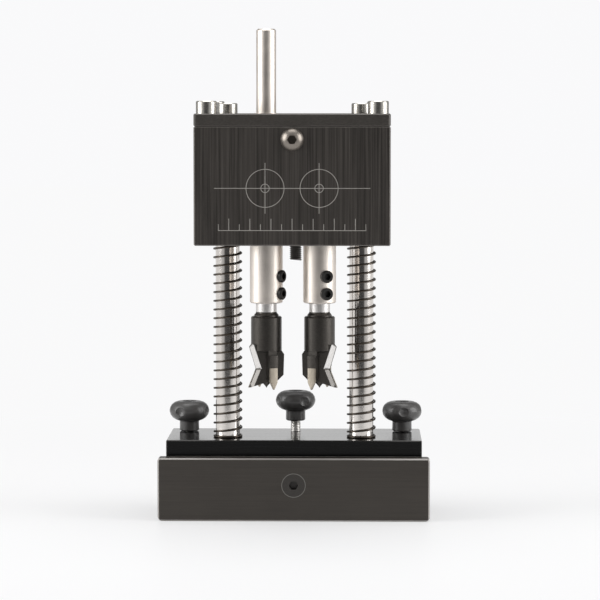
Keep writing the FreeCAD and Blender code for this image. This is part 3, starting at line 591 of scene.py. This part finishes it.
def threaded_stud(name, node, pitch, finish):
    """A screw thread as long and as wide as a stud's CAD cylinder, in its place."""
    low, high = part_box(node)
    x, y = (low[0] + high[0]) / 2, (low[1] + high[1]) / 2
    rise = pitch * MM
    outer = (high[0] - low[0]) / 2
    inner = outer - THREAD_DEPTH * rise
    turns = int((high[2] - low[2]) / rise) - 1
    piece = draw_outline(name, [(outer if crest else inner, share * rise) for crest, share in THREAD_TOOTH])
    apply_modifier(piece, "SCREW", axis="Z", angle=math.tau, screw_offset=rise, iterations=turns,
                   steps=THREAD_STEPS, render_steps=THREAD_STEPS, use_merge_vertices=True,
                   merge_threshold=MERGE_WITHIN, use_normal_calculate=True)
    start_edit(piece)
    bpy.ops.mesh.select_all(action="SELECT")
    bpy.ops.mesh.remove_doubles(threshold=MERGE_WITHIN)
    bpy.ops.mesh.select_all(action="DESELECT")
    bpy.ops.mesh.select_non_manifold(
        extend=False, use_wire=False, use_boundary=True, use_multi_face=False, use_non_contiguous=False,
        use_verts=False)
    bpy.ops.mesh.edge_face_add()
    bpy.ops.mesh.select_all(action="SELECT")
    bpy.ops.mesh.normals_make_consistent(inside=False)
    bpy.ops.object.mode_set(mode="OBJECT")
    heights = [vertex.co.z for vertex in piece.data.vertices]
    spare = (high[2] - low[2] - max(heights) + min(heights)) / 2
    piece.location = (x, y, low[2] + spare - min(heights))
    bpy.ops.object.transform_apply(location=True, rotation=True, scale=True)
    piece.data.materials.append(finish.material)
    return piece


STUDS = {
    "depth_stud": ("depth_screw", 0.8, stud_steel, "ground_steel"),
    "left_lock_stud": ("left_lock_screw", 0.8, stud_steel, "ground_steel"),
    "right_lock_stud": ("right_lock_screw", 0.8, stud_steel, "ground_steel"),
    "stop_stud": ("carriage", 1.0, stud_oxide, "dark_screw_steel"),
}
for node, (body, pitch, finish, slot) in STUDS.items():
    piece = threaded_stud(node + "_threaded", node, pitch, finish)
    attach(piece, body)
    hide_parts(node)
    print(piece.name, "faces", len(piece.data.polygons))

# %% [markdown]
# ## The return springs
#
# A spring stands on the base and carries the head. On the real jig it shortens as the head
# goes down, and its foot stays in place; here each spring only gets its own copy of its mesh.

# %% Give each spring its own mesh
for name in ("left_spring", "right_spring"):
    low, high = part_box(name)
    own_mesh(nodes[name])

# %% [markdown]
# ## The studio
#
# The jig stands on a white table in front of a white wall. Two large soft lamps light
# it from the left and the right. The side behind the camera is dim, and the table ends
# a little in front of the jig, outside the picture. So polished steel shows bright
# flanks and a dark middle.

# %% Floor and surroundings
TABLE_SIZE = 6.0
TABLE_MIDDLE_Y = 2.55
NEAR_JIG = 0.10
FAR_FROM_JIG = 0.45
SHADE_KEPT = 0.45
bpy.ops.object.select_all(action="DESELECT")
bpy.ops.mesh.primitive_plane_add(size=TABLE_SIZE, location=(0, TABLE_MIDDLE_Y, 0))
floor = bpy.context.object
floor.name = "studio_floor"
bpy.ops.object.transform_apply(location=True, rotation=True, scale=True)
white = Finish("white_table")
white.feed("Base Color", (0.90, 0.90, 0.905))
white.feed("Roughness", 0.42 + white.noise((3.0, 3.0, 3.0), 2.0) * 0.1)
glow = white.node("ShaderNodeEmission", {}, {"Color": (0.95, 0.95, 0.955), "Strength": 1.0})
rays = white.node("ShaderNodeLightPath", {}, {}, None)
camera_ray = Value(white, rays.outputs["Is Camera Ray"])
looked_at = white.limit(camera_ray + Value(white, rays.outputs["Is Glossy Ray"]))
away = white.math("SQRT", white.x * white.x + white.y * white.y)
fade = white.limit((away - NEAR_JIG) / (FAR_FROM_JIG - NEAR_JIG)) * (1.0 - SHADE_KEPT) + SHADE_KEPT
mixed = white.node("ShaderNodeMixShader", {}, {0: looked_at * fade, 2: glow})
white.tree.links.new(white.shader.outputs[0], mixed.socket.node.inputs[1])
white.tree.links.new(mixed.socket, white.output.inputs["Surface"])
floor.data.materials.append(white.material)

# %% Light of the room
# From behind the camera, 0, to the wall behind the jig, 1: how bright each direction is.
ROOM_LIGHT = (
    (0.0, 0.08), (0.04, 0.10), (0.085, 0.60), (0.30, 0.85),
    (0.62, 0.80), (0.80, 0.30), (0.93, 0.25), (0.98, 0.90),
)
WALL_COLOUR = (0.95, 0.95, 0.96, 1.0)
world = bpy.data.worlds.new("studio")
bpy.context.scene.world = world
world.use_nodes = True
sky = world.node_tree
sky.nodes.clear()
sky_out = sky.nodes.new("ShaderNodeOutputWorld")
seen = sky.nodes.new("ShaderNodeBackground")
seen.inputs["Color"].default_value = WALL_COLOUR
around = sky.nodes.new("ShaderNodeBackground")
coordinate = sky.nodes.new("ShaderNodeTexCoord")
parts = sky.nodes.new("ShaderNodeSeparateXYZ")
ramp = sky.nodes.new("ShaderNodeValToRGB")
ramp.color_ramp.elements.remove(ramp.color_ramp.elements[1])
ramp.color_ramp.elements[0].position = ROOM_LIGHT[0][0]
ramp.color_ramp.elements[0].color = (ROOM_LIGHT[0][1],) * 3 + (1.0,)
for place, level in ROOM_LIGHT[1:]:
    stop = ramp.color_ramp.elements.new(place)
    stop.color = (level, level, level, 1.0)
half = sky.nodes.new("ShaderNodeMath")
half.operation = "MULTIPLY_ADD"
half.inputs[1].default_value = 0.5
half.inputs[2].default_value = 0.5
blend = sky.nodes.new("ShaderNodeMixShader")
path = sky.nodes.new("ShaderNodeLightPath")
sky.links.new(coordinate.outputs["Generated"], parts.inputs[0])
sky.links.new(parts.outputs["Y"], half.inputs[0])
sky.links.new(half.outputs[0], ramp.inputs["Fac"])
sky.links.new(ramp.outputs[0], around.inputs["Strength"])
sky.links.new(path.outputs["Is Camera Ray"], blend.inputs[0])
sky.links.new(around.outputs[0], blend.inputs[1])
sky.links.new(seen.outputs[0], blend.inputs[2])
sky.links.new(blend.outputs[0], sky_out.inputs[0])


# %% Lamps
# Each lamp's name, place, the point that it faces, its two sides and its power in watts
LAMPS = (
    ("left_softbox", (-1.1, -0.35, 0.55), (0, 0, 0.12), (0.7, 0.9), 9.0),
    ("right_softbox", (1.1, -0.25, 0.5), (0, 0, 0.12), (0.7, 0.9), 8.0),
    ("top_softbox", (0.0, 0.1, 1.3), (0, 0, 0.1), (0.9, 0.9), 6.0),
)
for name, spot, aim, size, power in LAMPS:
    lamp = bpy.data.lights.new(name, "AREA")
    lamp.shape = "RECTANGLE"
    lamp.size, lamp.size_y = size
    lamp.energy = power
    holder = bpy.data.objects.new(name, lamp)
    bpy.context.collection.objects.link(holder)
    holder.location = spot
    holder.rotation_euler = (Vector(aim) - Vector(spot)).to_track_quat("-Z", "Y").to_euler()
print("lamps placed:", len(LAMPS))

# %% [markdown]
# ## The camera
#
# The picture was taken from well back with a long lens, level with the head. The
# numbers come from its perspective: how far the tops of the base and head open up.

# %% Place the camera
CAMERA_SPOT = Vector((0.030, -1.330, 0.2016))
CAMERA_AIM = Vector((0.0027, 0, 0.10684))
SENSOR_WIDTH = 36.0
LENS = 162.0
camera = bpy.data.objects.new("camera", bpy.data.cameras.new("camera"))
bpy.context.collection.objects.link(camera)
camera.location = CAMERA_SPOT
camera.rotation_euler = (CAMERA_AIM - CAMERA_SPOT).to_track_quat("-Z", "Y").to_euler()
camera.data.sensor_width = SENSOR_WIDTH
camera.data.lens = LENS
camera.data.clip_start = 0.01
bpy.context.scene.camera = camera
bpy.context.scene.view_settings.view_transform = "Standard"
